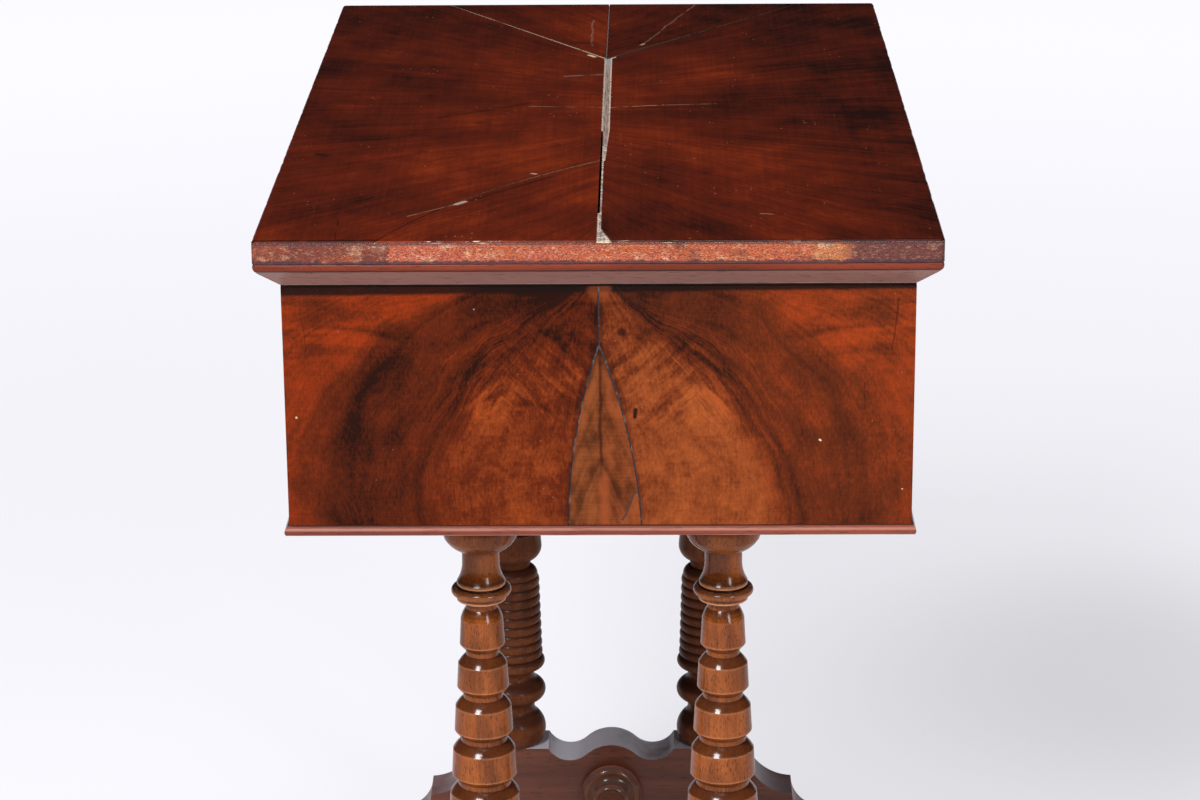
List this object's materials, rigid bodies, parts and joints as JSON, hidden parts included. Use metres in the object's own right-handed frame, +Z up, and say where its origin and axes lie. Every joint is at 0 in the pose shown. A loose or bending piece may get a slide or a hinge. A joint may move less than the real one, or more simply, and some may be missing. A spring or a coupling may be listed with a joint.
{
  "type": "work table",
  "caption": "Wooden work table with a hinged lid over a fitted well, a drawer below it, and trestle ends of turned columns on shaped foot boards joined by a stretcher.",
  "frame": {"origin": "on the floor, under the middle of the table", "axes": "+X along the table, +Y from the drawer side to the hinge side, +Z up"},
  "size_m": [0.72, 0.435, 0.75],
  "materials": {
    "figured_veneer": "french polished",
    "solid_wood": "french polished",
    "turned_wood": "french polished",
    "core_wood": "worn",
    "inner_wood": "waxed",
    "brass": "aged",
    "steel": "dull"
  },
  "bodies": {
    "stand": {"bearer_left": "inner_wood", "bearer_right": "inner_wood", "bearer_screws": "steel", "bottom_bead_back": "solid_wood", "bottom_bead_front": "solid_wood", "bottom_bead_left": "solid_wood", "bottom_bead_right": "solid_wood", "bottom_board": "inner_wood", "case_back": "solid_wood", "case_end_left": "solid_wood", "case_end_right": "solid_wood", "column_left_back": "turned_wood", "column_left_front": "turned_wood", "column_right_back": "turned_wood", "column_right_front": "turned_wood", "drawer_runner_left": "inner_wood", "drawer_runner_right": "inner_wood", "drawer_stops": "inner_wood", "end_veneer_left_back": "figured_veneer", "end_veneer_left_front": "figured_veneer", "end_veneer_right_back": "figured_veneer", "end_veneer_right_front": "figured_veneer", "end_veneer_right_wedge": "figured_veneer", "foot_board_left": "solid_wood", "foot_board_right": "solid_wood", "front_panel": "solid_wood", "hinge_case_leaf_left": "brass", "hinge_case_leaf_right": "brass", "hinge_case_screws": "brass", "hinge_pin_left": "brass", "hinge_pin_right": "brass", "stretcher": "turned_wood", "well_divider_left": "inner_wood", "well_divider_right": "inner_wood", "well_floor": "inner_wood", "well_short_divider_left_back": "inner_wood", "well_short_divider_left_front": "inner_wood", "well_short_divider_right_back": "inner_wood", "well_short_divider_right_front": "inner_wood"},
    "lid": {"hinge_lid_leaf_left": "brass", "hinge_lid_leaf_right": "brass", "hinge_lid_screws": "brass", "lid_board_back": "core_wood", "lid_board_front": "core_wood", "lid_moulding_back": "solid_wood", "lid_moulding_front": "solid_wood", "lid_moulding_left": "solid_wood", "lid_moulding_right": "solid_wood", "lid_veneer_back": "figured_veneer", "lid_veneer_back_far": "figured_veneer", "lid_veneer_front": "figured_veneer", "lid_veneer_front_far": "figured_veneer", "lid_veneer_front_near": "figured_veneer"},
    "drawer": {"drawer_front": "solid_wood", "drawer_side_right": "inner_wood", "drawer_side_left": "inner_wood", "drawer_back": "inner_wood", "drawer_bottom": "inner_wood", "drawer_knob_right": "turned_wood", "drawer_knob_left": "turned_wood"}
  },
  "joints": [
    {"name": "lid_hinge", "type": "hinge", "parent": "stand", "child": "lid", "pos_m": [0, 0.2049, 0.7172], "axis": [-1, 0, 0], "range_deg": [0, 105]},
    {"name": "drawer_slide", "type": "slide", "parent": "stand", "child": "drawer", "axis": [0, -1, 0], "range_m": [0, 0.25]}
  ]
}
